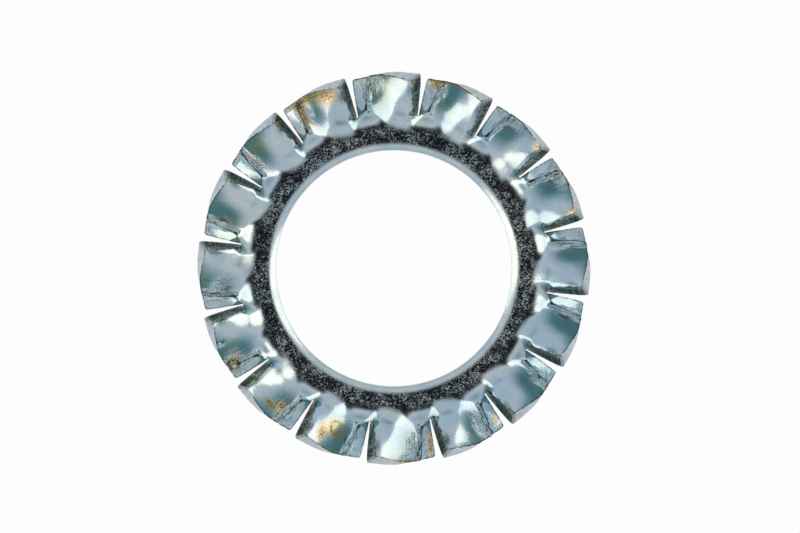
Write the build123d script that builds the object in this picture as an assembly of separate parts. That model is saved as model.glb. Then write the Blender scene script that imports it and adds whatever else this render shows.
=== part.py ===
from build123d import *
import math
import os

# Toothed lock washer, stamped and formed from one piece of sheet.
# All lengths are in millimetres and all angles in degrees.
# The washer lies flat: its axis is Z, its lowest edges touch Z = 0 and one tooth is centred on +X.

# The blank, as it is stamped from the sheet.
outer_diameter = 17.75
bore_diameter = 10.65
sheet_thickness = 0.9
tooth_count = 16
slot_root_diameter = 13.9
slot_width_at_root = 0.22
slot_width_at_rim = 0.34

# The twist that each tooth is given about its own centre line, and its run-in from the flat ring.
# Between two teeth, inside the slot, the run-in leaves a steep ramp.
twist_run_in_length = 0.75
twist_angle_at_root = 10.5
twist_angle_at_rim = 30.0
ramp_width_at_ring = 0.5

# The rounded edge that the bore punch leaves on the upper side.
bore_roll_over = 0.35
widest_roll_over_share = 0.8  # of the flat ring's width or the sheet's thickness

# The flat that the forming die presses into the lowered side of each tooth,
# and in the same way into the underside of the raised side.
# Its inner border is a crease, and its depths are measured below the twisted sheet.
press_width_at_rim = 0.95
press_width_at_root = 0.5
press_inner_diameter = 14.3
crease_depth_at_rim = 0.07
crease_depth_at_root = 0.02
press_depth_at_rim_corner = 0.01
press_tool_height = 0.22
press_tool_rim_overhang = 0.3
press_tool_side_overhang_at_rim = 0.12
press_tool_side_overhang_at_root = 0.07

bore_radius = bore_diameter / 2
rim_radius = outer_diameter / 2
slot_root_radius = slot_root_diameter / 2
flat_radius = slot_root_radius - twist_run_in_length
half_sheet = sheet_thickness / 2
skin_heights = (half_sheet, -half_sheet)
tooth_pitch = 360 / tooth_count
raised, lowered = -1, 1
small_step = 1e-4


def rate(curve, at):
    """How fast a point on a curve moves, by central difference."""
    return (curve(at + small_step) - curve(at - small_step)) / (2 * small_step)


def twist(radius):
    """Twist of the sheet at a radius: none in the flat ring, then a smooth start to a steady rise."""
    rise = (twist_angle_at_rim - twist_angle_at_root) / (rim_radius - slot_root_radius)
    if radius >= slot_root_radius:
        return twist_angle_at_root + rise * (radius - slot_root_radius)
    share = max(0, (radius - flat_radius) / twist_run_in_length)
    smooth_start = twist_angle_at_root * share**2 * (3 - 2 * share)
    return smooth_start + rise * twist_run_in_length * share**2 * (share - 1)


def gap_width(radius):
    """Distance between two teeth in the blank: the slot, and inside its root the ramp."""
    if radius >= slot_root_radius:
        share = (radius - slot_root_radius) / (rim_radius - slot_root_radius)
        return slot_width_at_root + share * (slot_width_at_rim - slot_width_at_root)
    share = (slot_root_radius - radius) / twist_run_in_length
    return slot_width_at_root + share * (ramp_width_at_ring - slot_width_at_root)


def side_angle(radius):
    """Angle from a tooth's centre line to its side."""
    return tooth_pitch / 2 - math.degrees(math.asin(gap_width(radius) / 2 / radius))


def middle(radius, angle):
    """Point on the middle of the formed sheet, on the tooth that is centred on +X."""
    along = radius * math.cos(math.radians(angle))
    across = radius * math.sin(math.radians(angle))
    turn = math.radians(twist(radius))
    return Vector(along, across * math.cos(turn), -across * math.sin(turn))


def formed(radius, angle, height):
    """Point at a height above the middle of the formed sheet, square to the sheet there."""
    outward = rate(lambda at: middle(at, angle), radius)
    sideways = rate(lambda at: middle(radius, at), angle)
    return middle(radius, angle) + outward.cross(sideways).normalized() * height


def cubic(start, start_rate, end, end_rate):
    """The four control points of the cubic curve with these ends and end rates."""
    return [start, start + start_rate / 3, end - end_rate / 3, end]


def along_radius(curve, inner, outer):
    """Control points of a curve that is a function of radius, from one radius to another."""
    length = outer - inner
    return cubic(curve(inner), rate(curve, inner) * length, curve(outer), rate(curve, outer) * length)


def tooth_skin(inner, outer, height):
    """Control points of a tooth's upper or lower skin between two radii: one row for each step across."""

    def side(which):
        return lambda radius: formed(radius, which * side_angle(radius), height)

    def slope(which):
        def per_tooth(radius):
            edge = which * side_angle(radius)
            return rate(lambda angle: formed(radius, angle, height), edge) * 2 * side_angle(radius)

        return per_tooth

    curves = (side(raised), slope(raised), side(lowered), slope(lowered))
    rows = [along_radius(curve, inner, outer) for curve in curves]
    return [list(row) for row in zip(*[cubic(*column) for column in zip(*rows)])]


def ruled(first, second):
    """Face of straight lines between two curves that are given by their control points."""
    return Face.make_bezier_surface([list(first), list(second)])


def next_tooth(points):
    """Points moved round the axis by one tooth."""
    return [point.rotate(Axis.Z, tooth_pitch) for point in points]


def ramp_ends(skin, end):
    """The two ends of the line that crosses the ramp at a skin's inner (0) or outer (-1) end."""
    return [skin[-1][end], *next_tooth([skin[0][end]])]


def one_tooth():
    """All faces of one tooth and of the ramp beside it, outside the flat ring."""
    upper_root, lower_root = [tooth_skin(flat_radius, slot_root_radius, z) for z in skin_heights]
    upper, lower = [tooth_skin(slot_root_radius, rim_radius, z) for z in skin_heights]
    skins = [Face.make_bezier_surface(skin) for skin in (upper_root, lower_root, upper, lower)]
    ramps = [ruled(skin[-1], next_tooth(skin[0])) for skin in (upper_root, lower_root)]
    sides = [ruled(upper[side], lower[side]) for side in (0, -1)]
    rim = ruled([row[-1] for row in upper], [row[-1] for row in lower])
    slot_end = ruled(ramp_ends(upper_root, -1), ramp_ends(lower_root, -1))
    return [*skins, *ramps, *sides, rim, slot_end]


def flat_disc(height):
    """Flat middle of the sheet, up to where the twist begins."""
    skin = tooth_skin(flat_radius, slot_root_radius, height)
    edges = [Edge.make_bezier(*[row[0] for row in skin]), Edge.make_line(*ramp_ends(skin, 0))]
    ring = [edge.rotate(Axis.Z, number * tooth_pitch) for number in range(tooth_count) for edge in edges]
    return Face(Wire(ring))


def make_washer():
    """The whole washer as one solid, with the middle of its sheet at Z = 0."""
    tooth = one_tooth()
    faces = [face.rotate(Axis.Z, number * tooth_pitch) for number in range(tooth_count) for face in tooth]
    blank = Solid(Shell(faces + [flat_disc(height) for height in skin_heights]))
    bored = blank - Cylinder(bore_radius, 2 * sheet_thickness)
    bore_edges = bored.edges().filter_by(GeomType.CIRCLE).sort_by(Axis.Z)
    room = min(flat_radius - bore_radius, sheet_thickness)
    return fillet(bore_edges[-1], min(bore_roll_over, room * widest_roll_over_share))


def under_skin(radius, from_side, depth):
    """Point under the upper skin, at a distance in from the lowered side of the tooth on +X."""
    angle = side_angle(radius) - math.degrees(from_side / radius)
    return formed(radius, angle, half_sheet - depth)


def pressing_tool():
    """Prism that leaves the flat on top of the lowered side of the tooth on +X."""
    inner_radius = press_inner_diameter / 2
    crease_start = under_skin(inner_radius, press_width_at_root, crease_depth_at_root)
    crease_end = under_skin(rim_radius, press_width_at_rim, crease_depth_at_rim)
    rim_corner = under_skin(rim_radius, 0, press_depth_at_rim_corner)
    upward = (crease_end - crease_start).cross(rim_corner - crease_end).normalized()
    skin_corner = under_skin(inner_radius, 0, 0)
    root_corner = skin_corner - upward * (skin_corner - crease_start).dot(upward)
    along_crease = (crease_end - crease_start).normalized()
    along_side = (rim_corner - root_corner).normalized()
    beside = upward.cross(along_side)
    corners = [
        crease_start,
        crease_end + along_crease * press_tool_rim_overhang,
        rim_corner + along_side * press_tool_rim_overhang + beside * press_tool_side_overhang_at_rim,
        root_corner + beside * press_tool_side_overhang_at_root,
    ]
    return Solid.extrude(Face(Wire.make_polygon(corners)), upward * press_tool_height)


def press_flats(washer):
    """Presses the two flats into every tooth."""
    upper_tool = pressing_tool()
    pair = [upper_tool, upper_tool.rotate(Axis.X, 180)]
    turns = [number * tooth_pitch for number in range(tooth_count)]
    return washer - [tool.rotate(Axis.Z, turn) for turn in turns for tool in pair]


washer = press_flats(make_washer())
lowest = min(vertex.Z for vertex in washer.vertices())
washer = Pos(0, 0, -lowest) * washer

os.makedirs("parts", exist_ok=True)
export_step(washer, "parts/washer.step")
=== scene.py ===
import math

import bpy
import numpy as np
from mathutils import Matrix, Vector


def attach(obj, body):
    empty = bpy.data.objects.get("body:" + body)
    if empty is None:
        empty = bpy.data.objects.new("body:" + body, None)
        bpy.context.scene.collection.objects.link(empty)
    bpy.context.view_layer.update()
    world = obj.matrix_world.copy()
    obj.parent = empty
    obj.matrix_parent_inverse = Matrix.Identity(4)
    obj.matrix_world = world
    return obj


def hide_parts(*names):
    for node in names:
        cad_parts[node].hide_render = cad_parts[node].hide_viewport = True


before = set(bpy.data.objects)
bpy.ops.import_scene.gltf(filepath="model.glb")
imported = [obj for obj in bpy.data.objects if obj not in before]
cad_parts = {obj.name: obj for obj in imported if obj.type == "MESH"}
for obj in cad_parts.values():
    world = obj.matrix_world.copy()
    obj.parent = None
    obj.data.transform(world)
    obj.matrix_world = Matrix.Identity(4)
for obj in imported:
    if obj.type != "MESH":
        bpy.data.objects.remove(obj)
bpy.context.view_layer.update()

# A toothed lock washer, made in the order of its manufacture: a flat blank is laid out and thickened, its
# edges are rounded, and then its teeth are twisted and pressed. Each point keeps its place on the blank,
# and the finish is laid out by those places.
#
# Sizes are in millimetres and angles in degrees, and the finished mesh is in metres.
# A share across a tooth is -1 on its raised side, 0 on its centre line and 1 on its lowered side.
# A span says where a gradual change starts and over what length it comes about.
MM = 0.001

# Places this near to each other count as one, and slopes are taken over this step.
NEAR = 1e-3

# The stamped blank.
BORE_RADIUS = 5.325
RIM_RADIUS = 8.875
SLOT_ROOT_RADIUS = 6.95
THICKNESS = 0.9
TOOTH_COUNT = 16
PITCH = 360 / TOOTH_COUNT
SLOT_AT_ROOT = 0.18
SLOT_AT_RIM = 0.34
CORNER_ROUND = 0.09

# The edges of the blank. The bore's upper edge falls by two curves added up, each given by its depth,
# as a share of the edge's width, and by its power. The rim leans inwards towards its upper edge.
ROLL_OVER = 0.43
ROLL_CURVES = ((0.24, 1.7), (0.004, 12))
LOWER_ROUND = 0.04
LOWER_ROUND_STEPS = 1
UPPER_ROUND = 0.085
UPPER_ROUND_STEPS = 3
ROUND_PROFILE = 0.55
SHARP_EDGE = 50
SMOOTH_ANGLE = 32
BORE_MARGIN = 0.1
RIM_DRAFT = 0.12
RIM_DRAFT_POWER = 1.5
RIM_DRAFT_SPAN = (8.6, 0.25)

# The twist of the teeth, its run-in from the flat ring, and the ramps between the teeth at the slots' roots.
# The early twist is added on the inner part of a tooth, and its spans start at the slot's root.
RUN_IN = 0.85
FLAT_RADIUS = SLOT_ROOT_RADIUS - RUN_IN
TWIST_AT_ROOT = 9.5
TWIST_AT_RIM = 30.0
EARLY_TWIST = 3.0
EARLY_TWIST_RISE = (0, 0.9)
EARLY_TWIST_END = (0.9, 1.0)
LATE_DROP = 0.26
LATE_DROP_ACROSS = (-0.15, 0.5)
LATE_DROP_END = (6.3, 0.6)
RAMP_WIDTH = 0.92
RAMP_END = (SLOT_ROOT_RADIUS, 0.45)
DROP_SHARE = 0.94
MIDDLE_HEIGHT = 1.147

# The flats that the dies pressed along one side of each tooth, on top, and along the other side, underneath.
CREASE_AT_ROOT = 0.66
CREASE_AT_RIM = 0.45
CREASE_BEND = 1.3
PRESS_INNER_RADIUS = 7.0
PRESS_CORNER = 0.34
PRESS_STEP = 0.07
CREASE_DEPTH_AT_ROOT = 0.045
CREASE_DEPTH_AT_RIM = 0.085
CORNER_DEPTH = 0.01

# The edge of each raised side is drawn down a little, and the rim is pulled in where the sheet leans.
DRAWN_DOWN = 0.035
DRAWN_DOWN_ACROSS = (0.82, 0.18)
DRAWN_DOWN_START = (6.9, 0.3)
PULL_IN_SPAN = (8.1, 0.75)

# How finely the blank is divided: strips across one tooth and its half slots, and rows outwards.
SLOT_STRIPS = 3
SIDE_STRIPS = 11
MIDDLE_STRIPS = 18
PITCH_STRIPS = 2 * (SLOT_STRIPS + SIDE_STRIPS) + MIDDLE_STRIPS
ROLL_ROWS = 6
ROLL_CROWDING = 1.3
RING_ROWS = 8
RUN_IN_ROWS_START = 6.4
RUN_IN_ROWS = 9
ROOT_ROWS = 7
TOOTH_ROWS_START = 7.4
TOOTH_ROWS = 17
CORNER_ROWS = 4
SLOT_FIRST_ROW = ROLL_ROWS + RING_ROWS + RUN_IN_ROWS
ALL_ROWS = SLOT_FIRST_ROW + ROOT_ROWS + TOOTH_ROWS + CORNER_ROWS
WALL_LAYERS = (0.06, 0.16, 0.2, 0.2, 0.16, 0.12)
SEAM_GAP = 1e-4

# Small differences from tooth to tooth.
chance = np.random.default_rng(16)
TWIST_CHANGE = chance.uniform(-0.05, 0.05, TOOTH_COUNT)
CREASE_CHANGE = chance.uniform(-0.28, 0.28, TOOTH_COUNT)
TIP_CHANGE = chance.uniform(-0.005, 0.005, TOOTH_COUNT)
FLAT_CHANGE = chance.uniform(-0.05, 0.02, TOOTH_COUNT)
FLAT_CHANGE_ACROSS = (0.6, 0.4)
FLAT_CHANGE_START = (7, 0.6)

# Waviness of the sheet and of the rim: height, wavelength and seed. Each is so many even waves added up.
WAVE_COUNT = 9
SHEET_WAVES = ((0.003, 1.1, 11), (0.001, 0.45, 12))
SHEET_WAVES_START = (6.3, 0.8)
WAVES_ON_RING = 0.1
RIM_WAVES = ((0.009, 0.5, 5), (0.008, 0.22, 6))
RIM_WAVES_START = (8.35, 0.5)
RIM_WAVES_ACROSS = (-0.1, 0.4)
RIM_WAVES_END = (0.85, 0.15)
RIM_WAVES_ON_RAISED_SIDE = 0.3
RIM_WAVES_UNDERNEATH = 0.4

# Stains on single teeth: tooth, share across it, radius, breadth, length outwards, and how strong.
STAINS = (
    (1, -0.85, 8.65, 0.16, 0.3, 1.2),
    (1, 0.1, 8.8, 0.9, 0.08, 0.7),
    (2, -0.85, 8.62, 0.18, 0.24, 1.1),
    (2, 0.2, 8.8, 1.0, 0.07, 0.6),
    (3, 0.35, 8.78, 0.95, 0.13, 1.3),
    (3, 0.7, 8.6, 0.28, 0.3, 1.1),
    (3, -0.3, 8.82, 0.8, 0.06, 0.9),
    (4, 0.0, 8.8, 1.3, 0.09, 0.8),
    (5, -0.5, 8.4, 0.45, 0.4, 0.9),
    (5, 0.0, 8.45, 1.1, 0.35, 0.4),
    (5, 0.2, 8.62, 0.8, 0.16, 1.2),
    (5, 0.5, 8.2, 0.16, 0.45, 1.05),
    (5, 0.5, 7.7, 0.12, 0.4, 0.8),
    (6, -0.05, 8.25, 0.45, 0.35, 0.55),
    (6, 0.4, 7.9, 0.12, 0.5, 0.35),
    (8, -0.2, 8.5, 0.6, 0.25, 0.4),
    (9, 0.3, 8.7, 0.7, 0.1, 0.7),
    (9, 0.5, 8.4, 0.3, 0.3, 0.4),
    (9, 0.2, 8.1, 0.35, 0.2, 0.45),
    (10, -0.1, 8.25, 0.45, 0.14, 1.1),
    (10, 0.2, 7.95, 0.32, 0.16, 1.1),
    (11, -0.52, 8.12, 0.2, 0.42, 0.95),
    (11, -0.15, 7.9, 0.42, 0.4, 0.42),
    (11, 0.1, 8.75, 0.8, 0.1, 0.6),
    (12, 0.88, 8.1, 0.16, 0.7, 1.0),
    (12, 0.1, 8.78, 0.9, 0.12, 0.8),
    (13, 0.85, 8.2, 0.12, 0.5, 0.6),
)

# Battered patches by the creases and the outer edge, given in the same way. In the colour they also get
# painted shade.
SCUFFS = (
    (0, 0.5, 7.6, 0.16, 0.5, 0.7),
    (1, 0.35, 8.5, 0.5, 0.3, 1.0),
    (2, 0.3, 8.55, 0.6, 0.25, 0.9),
    (3, 0.5, 8.3, 0.3, 0.4, 0.8),
    (4, 0.4, 8.45, 0.42, 0.35, 1.1),
    (5, 0.45, 8.2, 0.3, 0.5, 0.9),
    (6, 0.5, 7.9, 0.25, 0.5, 0.8),
    (8, 0.35, 7.9, 0.4, 0.4, 0.9),
    (9, 0.45, 8.2, 0.4, 0.45, 1.0),
    (10, 0.35, 8.2, 0.4, 0.4, 0.8),
    (12, 0.4, 8.3, 0.45, 0.4, 0.8),
    (13, 0.45, 8.1, 0.35, 0.5, 0.9),
    (14, 0.5, 8.2, 0.3, 0.5, 0.7),
)

# Ring-shaped marks: tooth, share across it, radius, the ring's own radius, and the breadth and strength
# of its line.
STAINED_RING = (11, -0.08, 7.62, 0.27, 0.09, 0.9)
DENTED_RING = (9, 0.56, 8.4, 0.27, 0.06, 1.0)
DENT_DEPTH = 0.045
DENT_STAIN = 0.7

# A short nick across the outer edge: tooth, share across it, the span in which it deepens, and its breadth.
NICK = (9, -0.26, (8.25, 0.15), 0.05)
NICK_DEPTH = 0.05

# Where the finish changes on a tooth: its walls, the wrinkles by its crease, and the dark lines round it; the
# wrinkles and the lines are darkened with painted shade.
# The fibre runs outwards, and each tooth has its own stretch of it. The walls are told from the faces by
# this share of the edges' rounding.
FIBRE_STEP = 5
TOOTH_START = SLOT_ROOT_RADIUS - 0.02
WALL_INSET = 0.7
RIM_START = RIM_RADIUS - 0.12
RIM_HALF_WIDTH = 0.93
RIM_WEAR_ACROSS = (-0.4, 0.6)
RIM_WEAR_ON_RAISED_SIDE = 0.45
BORE_WALL_INSET = 0.01
BORE_WALL_SHEAR = 0.5
WRINKLES_START = (7.0, 0.25)
WRINKLES_SPREAD = (7.2, 1.2)
WRINKLES_HALF_WIDTH = 0.1
WRINKLES_ASIDE = 0.02
WORN_EDGE = 0.45
WORN_EDGE_START = (8.4, 0.3)
WORN_EDGE_ACROSS = (0.25, 0.25)
MOST_BATTERED = 1.3
SIDE_LINE = 0.09
RIM_LINE = 0.13
FOLD_LINE = 0.05
FOLD_STRENGTH = 0.8

# The blue tint turns with the compass angle, and the dark grain lies on the flat ring.
BLUE_TURN = 0.6
BLUE_START = (6.4, 0.5)
GRAINY_RING_START = (5.52, 0.2)
GRAINY_RING_END = (6.1, 0.5)


def ramped(value, start, length):
    """An even change from 0 to 1 over a span."""
    return np.clip((value - start) / length, 0, 1)


def rising(value, start, length):
    """A smooth change from 0 to 1 over a span."""
    share = ramped(value, start, length)
    return share * share * (3 - 2 * share)


def up_from(level, share):
    """A level that goes up to 1 with a share."""
    return level + (1 - level) * share


def outward_share(radius):
    """How far out on a tooth a point lies: 0 at the slot's root and 1 at the rim."""
    return ramped(radius, SLOT_ROOT_RADIUS, RIM_RADIUS - SLOT_ROOT_RADIUS)


def upper_share(height):
    """How high in the sheet a point of the blank lies: 0 on its lower face and 1 on its upper one."""
    return (height + THICKNESS / 2) / THICKNESS


def slot_width(radius):
    """Width of the slot between two teeth."""
    return SLOT_AT_ROOT + outward_share(radius) * (SLOT_AT_RIM - SLOT_AT_ROOT)


def side_angle(radius):
    """Angle from a tooth's centre line to its side."""
    return PITCH / 2 - np.degrees(np.arcsin(slot_width(radius) / 2 / radius))


def half_arc(radius):
    """Length of the arc from a tooth's centre line to its side."""
    return radius * np.radians(side_angle(radius))


def crease_share(radius):
    """Where the die's crease lies across a tooth."""
    return CREASE_AT_ROOT + (CREASE_AT_RIM - CREASE_AT_ROOT) * outward_share(radius) ** CREASE_BEND


def row_radii():
    """Radius of each row: close together in the rolled bore edge, in the ramps and at the rounded corners."""
    roll = BORE_RADIUS + ROLL_OVER * np.linspace(0, 1, ROLL_ROWS + 1) ** ROLL_CROWDING
    ring = np.linspace(roll[-1], RUN_IN_ROWS_START, RING_ROWS + 1)[1:]
    run_in = np.linspace(RUN_IN_ROWS_START, SLOT_ROOT_RADIUS, RUN_IN_ROWS + 1)[1:]
    root = np.linspace(SLOT_ROOT_RADIUS, TOOTH_ROWS_START, ROOT_ROWS + 1)[1:]
    tooth = np.linspace(TOOTH_ROWS_START, RIM_RADIUS - CORNER_ROUND, TOOTH_ROWS + 1)[1:]
    corner_turn = np.radians(np.linspace(0, 90, CORNER_ROWS + 1)[1:])
    corner = RIM_RADIUS - CORNER_ROUND + CORNER_ROUND * np.sin(corner_turn)
    return np.concatenate([roll, ring, run_in, root, tooth, corner])


def strip_angles(radius):
    """Angle of each strip's border across one pitch, from slot centre to slot centre."""
    over = np.clip(radius - RIM_RADIUS + CORNER_ROUND, 0, CORNER_ROUND)
    cut_back = CORNER_ROUND - np.sqrt(CORNER_ROUND**2 - over**2)
    side = side_angle(radius) - np.degrees(cut_back / radius)
    crease = crease_share(radius) * side_angle(radius)
    even = np.linspace(0, 1, SIDE_STRIPS + 1)
    eased = (1 - np.cos(np.linspace(0, np.pi, SIDE_STRIPS + 1))) / 2
    part = ((even + eased) / 2)[:-1]
    left_slot = np.linspace(-PITCH / 2, -side, SLOT_STRIPS + 1)[:-1]
    left = -side + (side - crease) * part
    middle = np.linspace(-crease, crease, MIDDLE_STRIPS + 1)[:-1]
    right = crease + (side - crease) * part
    right_slot = np.linspace(side, PITCH / 2, SLOT_STRIPS + 1)
    return np.concatenate([left_slot, left, middle, right, right_slot])


def use_mode(mode):
    """Goes to object mode or edit mode."""
    bpy.ops.object.mode_set(mode=mode)


def select_nothing():
    """Leaves edit mode, with no object selected."""
    if bpy.context.object and bpy.context.object.mode != "OBJECT":
        use_mode("OBJECT")
    bpy.ops.object.select_all(action="DESELECT")


def vertex_places(mesh):
    """A row of three coordinates for each vertex."""
    places = np.empty(len(mesh.vertices) * 3)
    mesh.vertices.foreach_get("co", places)
    return places.reshape(-1, 3)


def move_vertices(mesh, places):
    """Puts each vertex at its place in such rows."""
    mesh.vertices.foreach_set("co", places.ravel())
    mesh.update()


def vertex_numbers(parts, corner_count):
    """The numbers of the vertices of each edge or face, all with this many corners."""
    numbers = np.empty(len(parts) * corner_count, dtype=int)
    parts.foreach_get("vertices", numbers)
    return numbers.reshape(-1, corner_count)


def lay_out_blank():
    """A flat sheet of the blank's outline, one face thick, bent round into a ring and cut into teeth."""
    select_nothing()
    around = TOOTH_COUNT * PITCH_STRIPS
    bpy.ops.mesh.primitive_grid_add(x_subdivisions=around, y_subdivisions=ALL_ROWS, size=1)
    blank = bpy.context.object
    places = vertex_places(blank.data)
    column = np.rint((places[:, 0] + 0.5) * around).astype(int)
    row = np.rint((places[:, 1] + 0.5) * ALL_ROWS).astype(int)
    tooth, strip = np.divmod(column, PITCH_STRIPS)
    radii = row_radii()
    angles = np.array([strip_angles(radius) for radius in radii])
    turn = np.radians(tooth * PITCH + angles[row, strip])
    radius = radii[row]
    move_vertices(blank.data, np.stack([radius * np.cos(turn), radius * np.sin(turn), 0 * turn], axis=1))
    cut_slots(blank, row, strip)
    use_mode("EDIT")
    bpy.ops.mesh.select_all(action="SELECT")
    bpy.ops.mesh.remove_doubles(threshold=SEAM_GAP)
    use_mode("OBJECT")
    return blank


def cut_slots(blank, row, strip):
    """Deletes the faces between the teeth, outside the slots' roots."""
    use_mode("EDIT")
    bpy.ops.mesh.select_mode(type="FACE")
    bpy.ops.mesh.select_all(action="DESELECT")
    use_mode("OBJECT")
    corners = vertex_numbers(blank.data.polygons, 4)
    outside = row[corners].min(axis=1) >= SLOT_FIRST_ROW
    lowest, highest = strip[corners].min(axis=1), strip[corners].max(axis=1)
    strip_of_face = np.where(highest - lowest > 1, PITCH_STRIPS - 1, lowest)
    in_slot = (strip_of_face < SLOT_STRIPS) | (strip_of_face >= PITCH_STRIPS - SLOT_STRIPS)
    blank.data.polygons.foreach_set("select", outside & in_slot)
    use_mode("EDIT")
    bpy.ops.mesh.delete(type="FACE")
    use_mode("OBJECT")


def thicken(blank):
    """Raises the sheet from its lower to its upper face in layers, which give its cut walls rows of faces."""
    use_mode("EDIT")
    bpy.ops.mesh.select_all(action="SELECT")
    for layer in WALL_LAYERS:
        step = (0, 0, layer * THICKNESS / sum(WALL_LAYERS))
        bpy.ops.mesh.extrude_region_move(TRANSFORM_OT_translate={"value": step})
    bpy.ops.mesh.select_all(action="SELECT")
    bpy.ops.mesh.normals_make_consistent(inside=False)
    use_mode("OBJECT")
    places = vertex_places(blank.data)
    places[:, 2] -= THICKNESS / 2
    move_vertices(blank.data, places)


def round_edges(blank, face, size, steps):
    """Rounds the sheared edges of the teeth on one face of the sheet: the upper (1) or the lower one (-1)."""
    use_mode("EDIT")
    bpy.ops.mesh.select_mode(type="EDGE")
    bpy.ops.mesh.select_all(action="DESELECT")
    bpy.ops.mesh.edges_select_sharp(sharpness=math.radians(SHARP_EDGE))
    use_mode("OBJECT")
    places = vertex_places(blank.data)
    ends = vertex_numbers(blank.data.edges, 2)
    picked = np.empty(len(blank.data.edges), dtype=bool)
    blank.data.edges.foreach_get("select", picked)
    off_bore = np.hypot(places[:, 0], places[:, 1])[ends].min(axis=1) > BORE_RADIUS + BORE_MARGIN
    on_face = places[:, 2][ends].mean(axis=1) * face > THICKNESS / 2 - NEAR
    blank.data.edges.foreach_set("select", picked & off_bore & on_face)
    use_mode("EDIT")
    bpy.ops.mesh.bevel(offset=size, segments=steps, profile=ROUND_PROFILE, clamp_overlap=True)
    use_mode("OBJECT")


def twist(radius):
    """Twist of the sheet at a radius: a smooth start from the flat ring, and then a steady rise."""
    rise = (TWIST_AT_RIM - TWIST_AT_ROOT) / (RIM_RADIUS - SLOT_ROOT_RADIUS)
    share = ramped(radius, FLAT_RADIUS, RUN_IN)
    run_in = TWIST_AT_ROOT * share**2 * (3 - 2 * share) + rise * RUN_IN * share**2 * (share - 1)
    beyond = np.clip(radius - SLOT_ROOT_RADIUS, 0, None)
    early = rising(beyond, *EARLY_TWIST_RISE) * (1 - rising(beyond, *EARLY_TWIST_END))
    return run_in + rise * beyond + EARLY_TWIST * early


# The fall across a tooth is tabled past its sides, because the ramps reach over to the next tooth.
FALL_REACH = 1.6
FALL_POINTS = 1281


def tabled_fall(slopes, first_change, second_change):
    """The fall across a tooth at evenly spaced shares, added up from its slope.

    The slopes are those of the raised part, the middle and the lowered part.
    Each change of slope is given by the shares across the tooth where it starts and ends.
    """
    raised, middle, lowered = slopes
    share = np.linspace(-FALL_REACH, FALL_REACH, FALL_POINTS)
    slope = raised + (middle - raised) * rising(share, first_change[0], first_change[1] - first_change[0])
    slope += (lowered - middle) * rising(share, second_change[0], second_change[1] - second_change[0])
    fall = np.cumsum(slope) * (share[1] - share[0])
    ends = np.interp((-1, 1), share, fall)
    return share, (fall - ends.mean()) * 2 / (ends[1] - ends[0]) * DROP_SHARE


FALL_AT_ROOT = tabled_fall((0.15, 3.4, 0.65), first_change=(-0.62, 0.18), second_change=(0.4, 0.62))
FALL_AT_RIM = tabled_fall((0.6, 1.25, 0.9), first_change=(-0.9, -0.42), second_change=(0.42, 0.62))


def s_shaped(share, radius):
    """Fall of a tooth across its width, flat on the raised part and steep in the middle."""
    root, rim = np.interp(share, *FALL_AT_ROOT), np.interp(share, *FALL_AT_RIM)
    return root + (rim - root) * outward_share(radius)


def straight(share, _):
    """Fall of a tooth that is twisted but straight across its width."""
    return share


def tooth_middle(radius, angle, tooth, fall_across):
    """Middle of the formed sheet of one tooth, turned to lie on +X."""
    along = radius * np.cos(np.radians(angle))
    across = radius * np.sin(np.radians(angle))
    half_width = radius * np.sin(np.radians(side_angle(radius)))
    share = across / half_width
    late = LATE_DROP * rising(share, *LATE_DROP_ACROSS) * (1 - rising(radius, *LATE_DROP_END))
    turn = np.radians(twist(radius - late) * (1 + TWIST_CHANGE[tooth]))
    drop = half_width * fall_across(share, radius) * np.sin(turn)
    bend = TIP_CHANGE[tooth] * np.clip(radius - SLOT_ROOT_RADIUS, 0, None) ** 2
    return np.stack([along, across * np.cos(turn), bend - drop], axis=-1)


def turned(points, degrees):
    """Points or directions turned about the washer's axis."""
    turn = np.radians(degrees)
    x = points[..., 0] * np.cos(turn) - points[..., 1] * np.sin(turn)
    y = points[..., 0] * np.sin(turn) + points[..., 1] * np.cos(turn)
    return np.stack([x, y, points[..., 2]], axis=-1)


def tooth_sheet(radius, angle, tooth, shift):
    """Middle of the tooth that is so many pitches on from this one, and the way its sheared walls stand."""
    other = (tooth + shift) % TOOTH_COUNT
    local = angle - shift * PITCH

    def steady(at_radius, at_angle):
        return tooth_middle(at_radius, at_angle, other, straight)

    outward = steady(radius + NEAR, local) - steady(radius - NEAR, local)
    sideways = steady(radius, local + NEAR) - steady(radius, local - NEAR)
    upward = np.cross(outward, sideways)
    upward /= np.linalg.norm(upward, axis=1, keepdims=True)
    middle = tooth_middle(radius, local, other, s_shaped)
    return turned(middle, shift * PITCH), turned(upward, shift * PITCH)


def formed_sheet(radius, angle, tooth):
    """Middle and upward direction of the formed sheet, with the ramps between teeth at the slots' roots."""
    place, upward = tooth_sheet(radius, angle, tooth, 0)
    ramp = slot_width(radius) + (RAMP_WIDTH - slot_width(radius)) * (1 - rising(radius, *RAMP_END))
    half_ramp = np.degrees(ramp / 2 / radius)
    for shift in (1, -1):
        share = rising(shift * angle - PITCH / 2 + half_ramp, 0, 2 * half_ramp)[:, None]
        next_place, next_upward = tooth_sheet(radius, angle, tooth, shift)
        place = place + (next_place - place) * share
        upward = upward + (next_upward - upward) * share
    return place, upward


def pressed_reach(share, radius):
    """How far inside the pressed flat a point lies: past its crease, its inner end and their round corner."""
    past_crease = (share - crease_share(radius)) * half_arc(radius)
    past_end = radius - PRESS_INNER_RADIUS
    short = np.hypot(np.clip(PRESS_CORNER - past_crease, 0, None), np.clip(PRESS_CORNER - past_end, 0, None))
    return np.minimum(np.minimum(past_crease, past_end), PRESS_CORNER - short)


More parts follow.
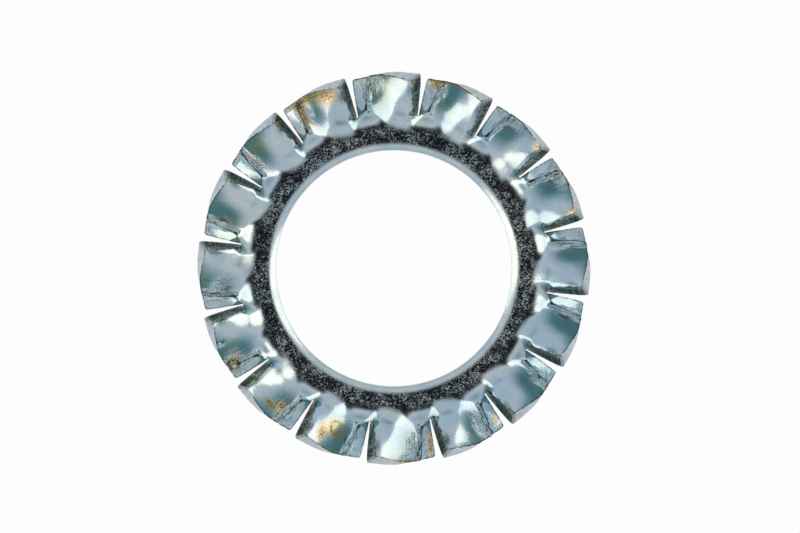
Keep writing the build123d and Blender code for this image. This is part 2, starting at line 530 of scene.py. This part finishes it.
def pressed_depth(share, radius, tooth):
    """How deep the die pressed a flat into one side of a tooth, from its crease out to the corner."""
    crease = crease_share(radius)
    deepest = CREASE_DEPTH_AT_ROOT + (CREASE_DEPTH_AT_RIM - CREASE_DEPTH_AT_ROOT) * outward_share(radius)
    deepest = deepest * (1 + CREASE_CHANGE[tooth])
    depth = deepest + (CORNER_DEPTH - deepest) * ramped(share, crease, 1 - crease)
    return rising(pressed_reach(share, radius), 0, PRESS_STEP) * depth


def ripples(places, length, seed):
    """Even, seeded waviness between about -1 and 1, with this wavelength."""
    draw = np.random.default_rng(seed)
    total = 0
    for _ in range(WAVE_COUNT):
        way, phase = draw.uniform(0, 2 * np.pi, 2)
        number = 2 * np.pi / (length * draw.uniform(0.7, 1.5))
        total = total + np.sin(number * (places[:, 0] * np.cos(way) + places[:, 1] * np.sin(way)) + phase)
    return total / (WAVE_COUNT / 2)


def wavy(places, waves):
    """Height of several waves added up."""
    return sum(height * ripples(places, length, seed) for height, length, seed in waves)


def blank_parts(places):
    """Radius, angle from the tooth's centre line, tooth number and share across the tooth, on the blank."""
    radius = np.hypot(places[:, 0], places[:, 1])
    whole = np.degrees(np.arctan2(places[:, 1], places[:, 0]))
    tooth = np.rint(whole / PITCH).astype(int)
    angle = whole - tooth * PITCH
    return radius, angle, tooth % TOOTH_COUNT, angle / side_angle(radius)


def spots(marks, radius, tooth, share):
    """Adds up soft-edged spots on single teeth."""
    total = np.zeros(len(radius))
    for number, across, out, breadth, length, strength in marks:
        aside = (share - across) * half_arc(radius) / breadth
        beyond = (radius - out) / length
        total += (tooth == number) * strength * np.exp(-(aside**2) - beyond**2)
    return total


def ring_mark(mark, radius, tooth, share):
    """Strength of a ring-shaped mark, strongest on its line."""
    number, across, out, ring_radius, breadth, strength = mark
    aside = (share - across) * half_arc(radius)
    distance = np.hypot(aside, radius - out) - ring_radius
    return (tooth == number) * strength * np.exp(-((distance / breadth) ** 2))


def nick_mark(radius, tooth, share):
    """Strength of the nick, which deepens up to the outer edge."""
    number, across, deepening, breadth = NICK
    aside = (share - across) * half_arc(radius) / breadth
    return (tooth == number) * np.exp(-(aside**2)) * rising(radius, *deepening)


def roll_bore_edge(places):
    """Rounds the upper edge of the bore, as the punch leaves it."""
    radius, height = np.hypot(places[:, 0], places[:, 1]), places[:, 2]
    inside = np.clip((BORE_RADIUS + ROLL_OVER - radius) / ROLL_OVER, 0, 1)
    drop = ROLL_OVER * sum(depth * inside**power for depth, power in ROLL_CURVES)
    on_wall = radius < BORE_RADIUS + NEAR
    on_top = height > THICKNESS / 2 - NEAR
    places[:, 2] -= np.where(on_wall, drop * upper_share(height), np.where(on_top, drop, 0))
    return places


def dent_rim(places):
    """Leans the outer edge of each tooth inwards and makes it uneven, and more so on its lowered half."""
    radius, _, _, share = blank_parts(places)
    upper = upper_share(places[:, 2])
    rough = up_from(RIM_WAVES_ON_RAISED_SIDE, rising(share, *RIM_WAVES_ACROSS))
    rough *= 1 - rising(np.abs(share), *RIM_WAVES_END)
    rough *= rising(radius, *RIM_WAVES_START) * up_from(RIM_WAVES_UNDERNEATH, upper)
    draft = RIM_DRAFT * upper**RIM_DRAFT_POWER * rising(radius, *RIM_DRAFT_SPAN)
    places[:, :2] *= (1 + (rough * wavy(places, RIM_WAVES) - draft) / radius)[:, None]
    return places


def raised_by_dies(places):
    """How far the dies and later knocks raise a point, square to the sheet. Below zero it is pressed in."""
    radius, _, tooth, share = blank_parts(places)
    upper = upper_share(places[:, 2])
    top, bottom = upper**2, (1 - upper) ** 2
    raised = pressed_depth(-share, radius, tooth) * bottom - pressed_depth(share, radius, tooth) * top
    drawn_down = ramped(-share, *DRAWN_DOWN_ACROSS) ** 2 * rising(radius, *DRAWN_DOWN_START)
    raised -= DRAWN_DOWN * drawn_down * top
    raised -= DENT_DEPTH * ring_mark(DENTED_RING, radius, tooth, share) * top
    raised -= NICK_DEPTH * nick_mark(radius, tooth, share) * top
    on_flat = ramped(share, *FLAT_CHANGE_ACROSS) * rising(radius, *FLAT_CHANGE_START)
    raised += FLAT_CHANGE[tooth] * on_flat * upper
    return raised + wavy(places, SHEET_WAVES) * up_from(WAVES_ON_RING, rising(radius, *SHEET_WAVES_START))


def form(places):
    """Twists and presses the teeth: takes places on the flat blank and gives them on the finished washer."""
    radius, angle, tooth, _ = blank_parts(places)
    middle, upward = formed_sheet(radius, angle, tooth)
    formed = middle + upward * (places[:, 2] + raised_by_dies(places))[:, None]
    lean = upward[:, 0] * np.cos(np.radians(angle)) + upward[:, 1] * np.sin(np.radians(angle))
    pull_in = rising(radius, *PULL_IN_SPAN) * np.abs(lean) * THICKNESS / 2
    formed[:, :2] *= (1 - pull_in / radius)[:, None]
    return turned(formed, tooth * PITCH)


def add_attribute(mesh, name, values):
    """Stores a number, or a row of three, for each point of the mesh."""
    values = np.asarray(values, dtype=np.float32)
    kind, field = ("FLOAT", "value") if values.ndim == 1 else ("FLOAT_VECTOR", "vector")
    mesh.attributes.new(name, kind, "POINT").data.foreach_set(field, values.ravel())


def crease_wear_and_shade(radius, tooth, share):
    """How wrinkled and battered the sheet is, by the crease and the outer edge of each tooth. In the colour
    this also sets painted shade in the wrinkles.
    """
    half_width = WRINKLES_HALF_WIDTH + WRINKLES_HALF_WIDTH * rising(radius, *WRINKLES_SPREAD)
    off_crease = np.abs(share - crease_share(radius) + WRINKLES_ASIDE)
    wrinkles = rising(1 - off_crease / half_width, 0, 1) * rising(radius, *WRINKLES_START)
    worn_edge = WORN_EDGE * rising(radius, *WORN_EDGE_START) * rising(share, *WORN_EDGE_ACROSS)
    return np.clip(wrinkles + spots(SCUFFS, radius, tooth, share) + worn_edge, 0, MOST_BATTERED)


def painted_shade_lines(radius, tooth, share):
    """How near a point lies to a dark line of painted shade: a tooth's outline, the fold round its flat, or a
    dent or nick.
    """
    from_side = (1 - np.abs(share)) * half_arc(radius)
    outline = np.maximum(1 - from_side / SIDE_LINE, 1 - (RIM_RADIUS - radius) / RIM_LINE)
    outline *= radius > TOOTH_START
    fold = 1 - np.abs(pressed_reach(share, radius) - PRESS_STEP / 2) / FOLD_LINE
    knocks = nick_mark(radius, tooth, share) + ring_mark(DENTED_RING, radius, tooth, share)
    return np.clip(np.maximum(outline, FOLD_STRENGTH * np.maximum(fold, knocks)), 0, 1)


def stained(radius, tooth, share):
    """How strongly a point is stained."""
    rings = ring_mark(STAINED_RING, radius, tooth, share)
    rings += DENT_STAIN * ring_mark(DENTED_RING, radius, tooth, share)
    return spots(STAINS, radius, tooth, share) + rings


def mark_surface(mesh, places):
    """Stores where each point lay on the blank, and how far it is cut, creased, pressed or stained."""
    radius, angle, tooth, share = blank_parts(places)
    height = places[:, 2]
    on_tooth = radius > TOOTH_START
    below_top = height < THICKNESS / 2 - UPPER_ROUND * WALL_INSET
    above_bottom = height > LOWER_ROUND * WALL_INSET - THICKNESS / 2
    on_wall = below_top & above_bottom
    rim = on_wall & (radius > RIM_START)
    side_wall = on_wall & on_tooth & ~(rim & (np.abs(share) < RIM_HALF_WIDTH))
    bore_wall = (radius < BORE_RADIUS + NEAR) & (np.abs(height) < THICKNESS / 2 - BORE_WALL_INSET)
    compass = np.radians(tooth * PITCH + angle)
    arc = np.radians(angle) * radius
    add_attribute(mesh, "blank", places)
    add_attribute(mesh, "fibre", np.stack([arc + FIBRE_STEP * tooth, radius, height], axis=1))
    add_attribute(mesh, "cut", side_wall + BORE_WALL_SHEAR * bore_wall)
    add_attribute(mesh, "rim", rim * up_from(RIM_WEAR_ON_RAISED_SIDE, rising(share, *RIM_WEAR_ACROSS)))
    add_attribute(mesh, "crease", crease_wear_and_shade(radius, tooth, share) * on_tooth)
    # The outline is painted shade along the teeth's edges, in the folds round the flats, and in the dent and
    # the nick.
    add_attribute(mesh, "outline", painted_shade_lines(radius, tooth, share) * (height > 0) * ~on_wall)
    add_attribute(mesh, "blue", (1 + np.cos(compass + BLUE_TURN)) / 2 * rising(radius, *BLUE_START))
    add_attribute(mesh, "ring", rising(radius, *GRAINY_RING_START) * (1 - rising(radius, *GRAINY_RING_END)))
    add_attribute(mesh, "stain", stained(radius, tooth, share) * on_tooth)


def make_washer():
    """The whole washer as one mesh, with its axis on Z and its lowest corners just above Z = 0."""
    washer = lay_out_blank()
    thicken(washer)
    round_edges(washer, 1, UPPER_ROUND, UPPER_ROUND_STEPS)
    round_edges(washer, -1, LOWER_ROUND, LOWER_ROUND_STEPS)
    places = vertex_places(washer.data)
    mark_surface(washer.data, places)
    formed = form(dent_rim(roll_bore_edge(places)))
    formed[:, 2] += MIDDLE_HEIGHT
    move_vertices(washer.data, formed * MM)
    washer.name = washer.data.name = "lock_washer"
    washer.location = (0, 0, 0)
    select_nothing()
    washer.select_set(True)
    bpy.context.view_layer.objects.active = washer
    bpy.ops.object.shade_smooth_by_angle(angle=math.radians(SMOOTH_ANGLE))
    return washer


def add_node(tree, kind, place, **settings):
    """Adds a node at a place in the node editor, with these settings."""
    made = tree.nodes.new(kind)
    made.location = place
    for name, value in settings.items():
        setattr(made, name, value)
    return made


def link_all(tree, pairs):
    """Links the first socket of each pair to the second."""
    for start, end in pairs:
        tree.links.new(start, end)


class MaterialNodes:
    """A small helper that adds linked nodes to one material. Each method gives the new node's output."""

    def __init__(self, name):
        self.material = bpy.data.materials.new(name)
        self.material.use_nodes = True
        self.tree = self.material.node_tree
        self.shader = self.tree.nodes["Principled BSDF"]
        self.shader.location = (1800, 0)
        self.tree.nodes["Material Output"].location = (2100, 0)
        self.count = 0

    def add(self, kind, inputs=(), **settings):
        """Adds a node in the next free place and feeds its inputs, which are given as pairs."""
        self.count += 1
        place = (self.count % 7 * 220 - 600, self.count // 7 * -320 + 900)
        made = add_node(self.tree, kind, place, **settings)
        for socket, value in inputs:
            self.feed(value, made.inputs[socket])
        return made

    def feed(self, value, socket):
        if isinstance(value, (int, float, tuple)):
            socket.default_value = value
        else:
            self.tree.links.new(value, socket)

    def attribute(self, name, output="Fac"):
        return self.add("ShaderNodeAttribute", attribute_name=name).outputs[output]

    def stretched(self, vector, scale):
        return self.add("ShaderNodeVectorMath", ((0, vector), (1, scale)), operation="MULTIPLY").outputs[0]

    def noise(self, vector, scale, detail, roughness=0.5):
        inputs = (("Vector", vector), ("Scale", scale), ("Detail", detail), ("Roughness", roughness))
        return self.add("ShaderNodeTexNoise", inputs).outputs["Fac"]

    def grains(self, vector, scale):
        """Small cells, each with a level of its own between 0 and 1."""
        cells = self.add("ShaderNodeTexVoronoi", (("Vector", vector), ("Scale", scale)))
        return self.add("ShaderNodeSeparateColor", ((0, cells.outputs["Color"]),)).outputs[0]

    def maths(self, operation, first, second):
        return self.add("ShaderNodeMath", ((0, first), (1, second)), operation=operation).outputs[0]

    def plus(self, first, second):
        return self.maths("ADD", first, second)

    def minus(self, first, second):
        return self.maths("SUBTRACT", first, second)

    def times(self, first, second):
        return self.maths("MULTIPLY", first, second)

    def spread(self, value, low, high, start=0.0, end=1.0):
        """A smooth change from one level to another, while the value goes from low to high."""
        inputs = (("Value", value), ("From Min", low), ("From Max", high), ("To Min", start), ("To Max", end))
        return self.add("ShaderNodeMapRange", inputs, interpolation_type="SMOOTHSTEP").outputs["Result"]

    def mixed(self, factor, first, second):
        """A mixture of two colours, which go into sockets 6 and 7."""
        return self.add("ShaderNodeMix", ((0, factor), (6, first), (7, second)), data_type="RGBA").outputs[2]

    def bump(self, height, metres, below=None):
        made = self.add("ShaderNodeBump", (("Height", height), ("Distance", metres), ("Strength", 1.0)))
        if below is not None:
            self.feed(below, made.inputs["Normal"])
        return made.outputs["Normal"]


ZINC = (0.77, 0.86, 0.87, 1)
BLUE_ZINC = (0.55, 0.73, 0.86, 1)
GOLDEN = (0.85, 0.68, 0.4, 1)
BROWN = (0.48, 0.32, 0.16, 1)
# A near-black teal for the torn part of the walls, partly real and partly painted shade from the next tooth,
# and for scuffs on the rim. It is also painted shade in the creases and along the teeth's edges.
SHEARED_AND_PAINTED_SHADE = (0.025, 0.055, 0.045, 1)
BURNISHED = (0.33, 0.38, 0.3, 1)
SCUFFED = (0.36, 0.4, 0.45, 1)
RIM_LILAC = (0.5, 0.53, 0.6, 1)

# How high the bumps of the plating are, in metres.
GRAIN_BUMP = 0.0000018
WRINKLE_BUMP = 0.00013
LUMP_BUMP = 0.00012
SHEAR_BUMP = 0.00003


def sheared_wall(plate, fibre):
    """Colour of the walls that the punch left: dark where it tore the sheet, and burnished above. The
    near-black of the torn part is partly the rougher sheared steel and partly painted shade, as cast by the
    next tooth.
    """
    streak = plate.noise(plate.stretched(fibre, (10.0, 10.0, 1.4)), 1.0, 4.0, 0.7)
    height = plate.add("ShaderNodeSeparateXYZ", ((0, fibre),)).outputs[2]
    burnish = plate.spread(plate.plus(height, plate.times(streak, 0.5)), 0.3, 0.5)
    wall = plate.mixed(plate.spread(streak, 0.45, 0.68), SHEARED_AND_PAINTED_SHADE, BURNISHED)
    return plate.mixed(plate.times(burnish, 0.75), wall, BURNISHED)


def zinc_plate():
    """Bright zinc plating, laid out by the places that the points had on the blank."""
    plate = MaterialNodes("zinc_plate")
    blank, fibre = plate.attribute("blank", "Vector"), plate.attribute("fibre", "Vector")
    cut, rim, crease = plate.attribute("cut"), plate.attribute("rim"), plate.attribute("crease")
    ring, outline = plate.attribute("ring"), plate.attribute("outline")
    on_rim = plate.spread(rim, 0.2, 0.45)
    fleck = plate.noise(blank, 9.0, 4.0, 0.7)
    stain = plate.times(plate.attribute("stain"), plate.spread(fleck, 0.36, 0.58, 0.3, 1.2))
    blotch = plate.noise(blank, 5.0, 4.0, 0.65)
    wrinkle = plate.noise(plate.stretched(fibre, (10.0, 2.6, 1.0)), 1.0, 4.0, 0.65)

    # Colour: mottled zinc, dust, stains, sheared walls whose dark is partly painted shade, and painted shade
    # as dark lines in the creases and round the teeth.
    cloud = plate.spread(plate.noise(blank, 0.9, 3.0), 0.35, 0.7, 0.0, 0.8)
    colour = plate.mixed(plate.plus(cloud, plate.times(plate.attribute("blue"), 0.6)), ZINC, BLUE_ZINC)
    dust = plate.spread(plate.noise(blank, 14.0, 3.0, 0.7), 0.42, 0.72, 0.0, 0.22)
    colour = plate.mixed(dust, colour, SCUFFED)
    colour = plate.mixed(plate.spread(stain, 0.1, 0.5), colour, GOLDEN)
    colour = plate.mixed(plate.spread(stain, 0.6, 1.0), colour, BROWN)
    colour = plate.mixed(cut, colour, sheared_wall(plate, fibre))
    # Painted shade along the teeth's edges, the folds round the flats, the dent and the nick.
    edge_shade = plate.times(plate.spread(outline, 0.1, 0.7), plate.spread(blotch, 0.4, 0.58, 0.15, 0.85))
    colour = plate.mixed(edge_shade, colour, SHEARED_AND_PAINTED_SHADE)
    # Painted shade in the wrinkles by the creases and in the battered patches.
    crease_shade = plate.times(crease, plate.spread(wrinkle, 0.5, 0.41, 0.0, 0.75))
    colour = plate.mixed(crease_shade, colour, SHEARED_AND_PAINTED_SHADE)
    lilac = plate.mixed(plate.spread(blotch, 0.4, 0.6), RIM_LILAC, SCUFFED)
    colour = plate.mixed(on_rim, colour, lilac)
    scuffed = plate.times(plate.spread(rim, 0.5, 0.95), plate.spread(blotch, 0.42, 0.66, 0.0, 0.38))
    colour = plate.mixed(scuffed, colour, SHEARED_AND_PAINTED_SHADE)
    plate.feed(colour, plate.shader.inputs["Base Color"])
    plate.feed(1.0, plate.shader.inputs["Metallic"])

    # Roughness: smoothest on the flat ring, apart from grains of two sizes, and duller where it is worn.
    patch = plate.spread(plate.noise(blank, 2.2, 3.0), 0.3, 0.7, 0.11, 0.17)
    rough = plate.minus(patch, plate.times(ring, 0.09))
    fine, coarse = plate.grains(blank, 27.0), plate.grains(blank, 14.0)
    grains = plate.plus(plate.times(fine, 0.6), plate.times(coarse, 0.4))
    bare = plate.spread(plate.noise(blank, 1.6, 2.0), 0.35, 0.65, 0.66, 0.42)
    pits = plate.spread(plate.minus(grains, bare), -0.19, 0.5, 0.0, 0.44)
    rough = plate.plus(rough, plate.times(pits, plate.plus(ring, 0.08)))
    for worn, amount in ((on_rim, 0.2), (cut, 0.22), (stain, 0.2)):
        rough = plate.plus(rough, plate.times(worn, amount))
    plate.feed(rough, plate.shader.inputs["Roughness"])

    # Bumps: fine grain, wrinkles by the creases, lumps, and the streaks of the sheared walls.
    normal = plate.bump(plate.noise(blank, 13.0, 1.0), GRAIN_BUMP)
    normal = plate.bump(plate.times(wrinkle, crease), WRINKLE_BUMP, normal)
    lumps = plate.times(plate.noise(blank, 5.5, 3.0, 0.6), plate.plus(crease, 0.016))
    normal = plate.bump(lumps, LUMP_BUMP, normal)
    shear = plate.noise(plate.stretched(fibre, (0.0, 12.0, 0.8)), 1.0, 2.0)
    normal = plate.bump(plate.times(shear, cut), SHEAR_BUMP, normal)
    plate.feed(normal, plate.shader.inputs["Normal"])
    return plate.material


# The floor, whose size is in metres. This share of it glows, and the rest is matt.
FLOOR_SIZE = 6
FLOOR_COLOUR = (0.85, 0.85, 0.85, 1)
FLOOR_GLOW_SHARE = 0.97


def make_floor():
    """A pale floor that glows to the camera and in reflections, so that hardly a shadow shows on it."""
    select_nothing()
    bpy.ops.mesh.primitive_plane_add(size=FLOOR_SIZE, location=(0, 0, 0))
    floor = bpy.context.object
    floor.name = "floor"
    material = bpy.data.materials.new("pale_floor")
    material.use_nodes = True
    tree = material.node_tree
    tree.nodes.clear()
    output = add_node(tree, "ShaderNodeOutputMaterial", (600, 0))
    mix = add_node(tree, "ShaderNodeMixShader", (400, 0))
    matt = add_node(tree, "ShaderNodeBsdfDiffuse", (100, -100))
    matt.inputs["Color"].default_value = FLOOR_COLOUR
    glow = add_node(tree, "ShaderNodeEmission", (100, -250))
    glow.inputs["Strength"].default_value = 1
    paths = add_node(tree, "ShaderNodeLightPath", (-300, 200))
    seen = add_node(tree, "ShaderNodeMath", (-100, 200), operation="MAXIMUM")
    share = add_node(tree, "ShaderNodeMath", (200, 200), operation="MULTIPLY")
    share.inputs[1].default_value = FLOOR_GLOW_SHARE
    pairs = (
        (paths.outputs["Is Camera Ray"], seen.inputs[0]),
        (paths.outputs["Is Glossy Ray"], seen.inputs[1]),
        (seen.outputs[0], share.inputs[0]),
        (share.outputs[0], mix.inputs[0]),
        (matt.outputs[0], mix.inputs[1]),
        (glow.outputs[0], mix.inputs[2]),
        (mix.outputs[0], output.inputs[0]),
    )
    link_all(tree, pairs)
    floor.data.materials.append(material)


# The studio's sky: angle from straight overhead, and its colour there. The camera sees it as plain white.
SKY = (
    (0, (0.008, 0.009, 0.011)),
    (10, (0.018, 0.02, 0.023)),
    (15, (0.1, 0.108, 0.115)),
    (21, (0.36, 0.375, 0.385)),
    (27, (0.57, 0.59, 0.61)),
    (34, (0.55, 0.575, 0.605)),
    (46, (0.42, 0.465, 0.49)),
    (56, (0.2, 0.3, 0.305)),
    (63, (0.085, 0.19, 0.188)),
    (75, (0.08, 0.165, 0.165)),
    (84, (0.28, 0.4, 0.41)),
    (90, (0.4, 0.48, 0.5)),
)


def make_sky():
    """A sky that changes only with the angle from overhead, as a ramp of the colours above."""
    world = bpy.data.worlds.new("studio")
    bpy.context.scene.world = world
    world.use_nodes = True
    tree = world.node_tree
    tree.nodes.clear()
    output = add_node(tree, "ShaderNodeOutputWorld", (900, 0))
    mix = add_node(tree, "ShaderNodeMixShader", (700, 0))
    sky = add_node(tree, "ShaderNodeBackground", (500, -100))
    white = add_node(tree, "ShaderNodeBackground", (500, -250))
    white.inputs["Color"].default_value = (1, 1, 1, 1)
    paths = add_node(tree, "ShaderNodeLightPath", (400, 200))
    direction = add_node(tree, "ShaderNodeTexCoord", (-500, 0))
    parts = add_node(tree, "ShaderNodeSeparateXYZ", (-300, 0))
    angle = add_node(tree, "ShaderNodeMath", (-100, 0), operation="ARCCOSINE")
    share = add_node(tree, "ShaderNodeMath", (50, 0), operation="DIVIDE")
    share.inputs[1].default_value = math.pi / 2
    ramp = add_node(tree, "ShaderNodeValToRGB", (200, 0))
    stops = ramp.color_ramp.elements
    for number, (degrees, colour) in enumerate(SKY):
        stop = stops[number] if number < 2 else stops.new(1)
        stop.position = degrees / 90
        stop.color = (*colour, 1)
    pairs = (
        (direction.outputs["Generated"], parts.inputs[0]),
        (parts.outputs["Z"], angle.inputs[0]),
        (angle.outputs[0], share.inputs[0]),
        (share.outputs[0], ramp.inputs[0]),
        (ramp.outputs[0], sky.inputs[0]),
        (paths.outputs["Is Camera Ray"], mix.inputs[0]),
        (sky.outputs[0], mix.inputs[1]),
        (white.outputs[0], mix.inputs[2]),
        (mix.outputs[0], output.inputs[0]),
    )
    link_all(tree, pairs)


# The camera looks straight down, turned a little, with the washer a little left of and below the middle.
# The frame's width is what it sees at the middle of the sheet.
CAMERA_ROLL = -2.21
CAMERA_LENS = 150
SENSOR_WIDTH = 36
FRAME_WIDTH = 36.07
AIM_RIGHT = 0.275
AIM_UP = 0.081

# What lies nearer or farther than this, in metres, isn't seen.
NEAREST_SEEN = 0.005
FARTHEST_SEEN = 20

# Two soft boxes, left and right of the camera: compass angle from the camera's right, and power in watts.
# Both lean by the same angle from overhead and are spun on their own axes. Their sizes are in metres.
SOFT_BOXES = {"left_soft_box": (184, 0.255), "right_soft_box": (4, 0.265)}
LAMP_LEAN = 41
LAMP_SPIN = -38
LAMP_DISTANCE = 0.5
LAMP_LENGTH = 0.38
LAMP_WIDTH = 0.24
LAMP_COLOUR = (1, 0.86, 0.66)


def make_soft_box(name, compass_angle, power):
    """A soft box aimed at the washer, which the camera doesn't see."""
    light = bpy.data.lights.new(name, "AREA")
    light.shape = "RECTANGLE"
    light.size = LAMP_LENGTH
    light.size_y = LAMP_WIDTH
    light.energy = power
    light.color = LAMP_COLOUR
    holder = bpy.data.objects.new(name, light)
    bpy.context.collection.objects.link(holder)
    turn = Matrix.Rotation(math.radians(compass_angle + CAMERA_ROLL), 3, "Z")
    lean = Matrix.Rotation(math.radians(LAMP_LEAN), 3, "Y")
    spin = Matrix.Rotation(math.radians(LAMP_SPIN), 3, "Z")
    holder.location = turn @ lean @ Vector((0, 0, LAMP_DISTANCE))
    holder.rotation_euler = (turn @ lean @ spin).to_euler()
    holder.visible_camera = False


def make_camera():
    """The camera, aimed and placed by the frame's width and the washer's place in it."""
    data = bpy.data.cameras.new("camera")
    camera = bpy.data.objects.new("camera", data)
    bpy.context.collection.objects.link(camera)
    data.lens = CAMERA_LENS
    data.sensor_width = SENSOR_WIDTH
    data.clip_start = NEAREST_SEEN
    data.clip_end = FARTHEST_SEEN
    roll = math.radians(CAMERA_ROLL)
    camera.location = (
        (AIM_RIGHT * math.cos(roll) - AIM_UP * math.sin(roll)) * MM,
        (AIM_RIGHT * math.sin(roll) + AIM_UP * math.cos(roll)) * MM,
        (MIDDLE_HEIGHT + CAMERA_LENS * FRAME_WIDTH / SENSOR_WIDTH) * MM,
    )
    camera.rotation_euler = (0, 0, roll)
    bpy.context.scene.camera = camera


bpy.context.scene.view_settings.view_transform = "Standard"
washer = make_washer()
washer.data.materials.append(zinc_plate())
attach(washer, "root")
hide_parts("washer")
make_floor()
make_sky()
for name, (compass_angle, power) in SOFT_BOXES.items():
    make_soft_box(name, compass_angle, power)
make_camera()
